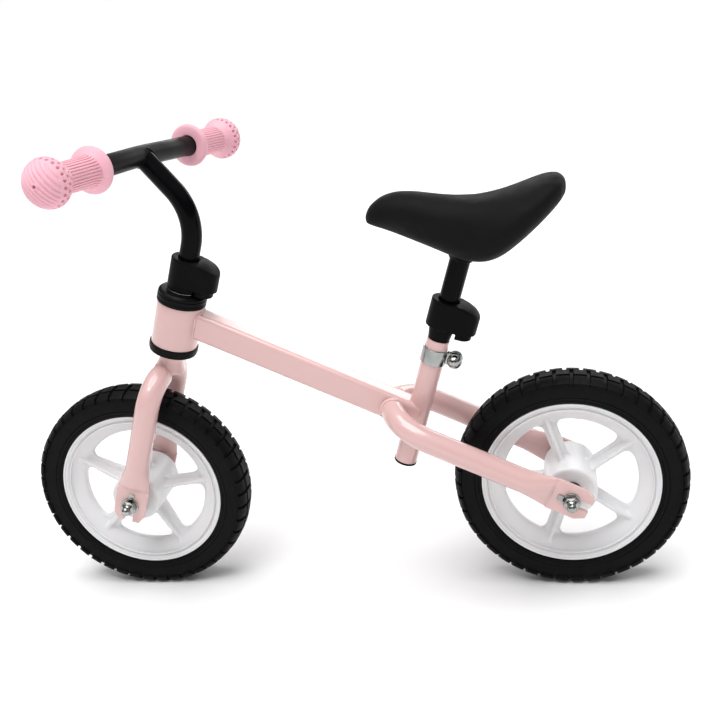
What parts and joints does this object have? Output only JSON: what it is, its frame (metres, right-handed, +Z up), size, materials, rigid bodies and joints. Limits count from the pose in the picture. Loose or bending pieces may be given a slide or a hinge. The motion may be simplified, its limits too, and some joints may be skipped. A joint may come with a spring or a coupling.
{
  "type": "balance bike",
  "caption": "Child's balance bike with a sloping steel frame, five-spoke wheels with foam tyres, bent handlebar stem, ball-end grips and a height-adjustable saddle.",
  "frame": {"origin": "on the ground midway between the two axles", "axes": "+X forward, +Y towards the rider's left, +Z up"},
  "size_m": [0.864, 0.4267, 0.6263],
  "materials": {
    "pink_paint": "pale pink gloss enamel on steel",
    "black_paint": "semi-gloss black enamel on steel",
    "zinc": "bright zinc or chrome plate",
    "headset_plastic": "black headset cup plastic",
    "clamp_plastic": "black moulded clamp cover",
    "tyre_foam": "black foam tyre",
    "wheel_plastic": "white moulded wheel",
    "grip_rubber": "pink soft rubber",
    "saddle_plastic": "black saddle base",
    "saddle_skin": "black soft saddle cover"
  },
  "bodies": {
    "frame_assembly": {"head_tube": "pink_paint", "top_tube": "pink_paint", "seat_tube": "pink_paint", "rear_stay": "pink_paint", "seat_tube_plug": "headset_plastic", "lower_headset_cup": "headset_plastic", "upper_headset_cup": "headset_plastic", "rear_axle": "zinc", "rear_axle_spacers": "zinc", "rear_tab_washers": "zinc", "rear_axle_nuts": "zinc", "seat_clamp_cover": "clamp_plastic", "seat_clamp_band": "zinc", "seat_clamp_screw": "zinc", "seat_clamp_nut": "zinc", "steel_band": "zinc", "steel_band_bolt": "zinc", "steel_band_nut": "zinc"},
    "fork_assembly": {"fork_tube": "pink_paint", "steerer_tube": "pink_paint", "headset_cap": "headset_plastic", "headset_locknut": "zinc", "stem_clamp_cover": "clamp_plastic", "stem_clamp_band": "zinc", "stem_clamp_screw": "zinc", "stem_clamp_nut": "zinc", "front_axle": "zinc", "front_axle_spacers": "zinc", "front_tab_washers": "zinc", "front_axle_nuts": "zinc"},
    "front_wheel_assembly": {"front_tyre": "tyre_foam", "front_wheel": "wheel_plastic", "front_bearings": "zinc"},
    "rear_wheel_assembly": {"rear_tyre": "tyre_foam", "rear_wheel": "wheel_plastic", "rear_bearings": "zinc"},
    "handlebar_assembly": {"handlebar": "black_paint", "handlebar_stem": "black_paint", "left_grip": "grip_rubber", "right_grip": "grip_rubber"},
    "saddle_assembly": {"seat_post": "black_paint", "saddle_base": "saddle_plastic", "saddle_bolt": "zinc", "saddle_nut": "zinc", "saddle_pad": "saddle_skin"}
  },
  "joints": [
    {"name": "steering", "type": "hinge", "parent": "frame_assembly", "child": "fork_assembly", "pos_m": [0.2813, 0, 0.14429], "axis": [-0.342, 0, 0.9397], "range_deg": [-80, 80]},
    {"name": "front_wheel_spin", "type": "hinge", "parent": "fork_assembly", "child": "front_wheel_assembly", "pos_m": [0.286, 0, 0.146], "axis": [0, 1, 0], "continuous": true},
    {"name": "rear_wheel_spin", "type": "hinge", "parent": "frame_assembly", "child": "rear_wheel_assembly", "pos_m": [-0.286, 0, 0.146], "axis": [0, 1, 0], "continuous": true},
    {"name": "handlebar_height", "type": "slide", "parent": "fork_assembly", "child": "handlebar_assembly", "axis": [-0.342, 0, 0.9397], "range_m": [-0.005, 0.045]},
    {"name": "seat_height", "type": "slide", "parent": "frame_assembly", "child": "saddle_assembly", "axis": [-0.3256, 0, 0.9455], "range_m": [-0.026, 0.07]}
  ]
}
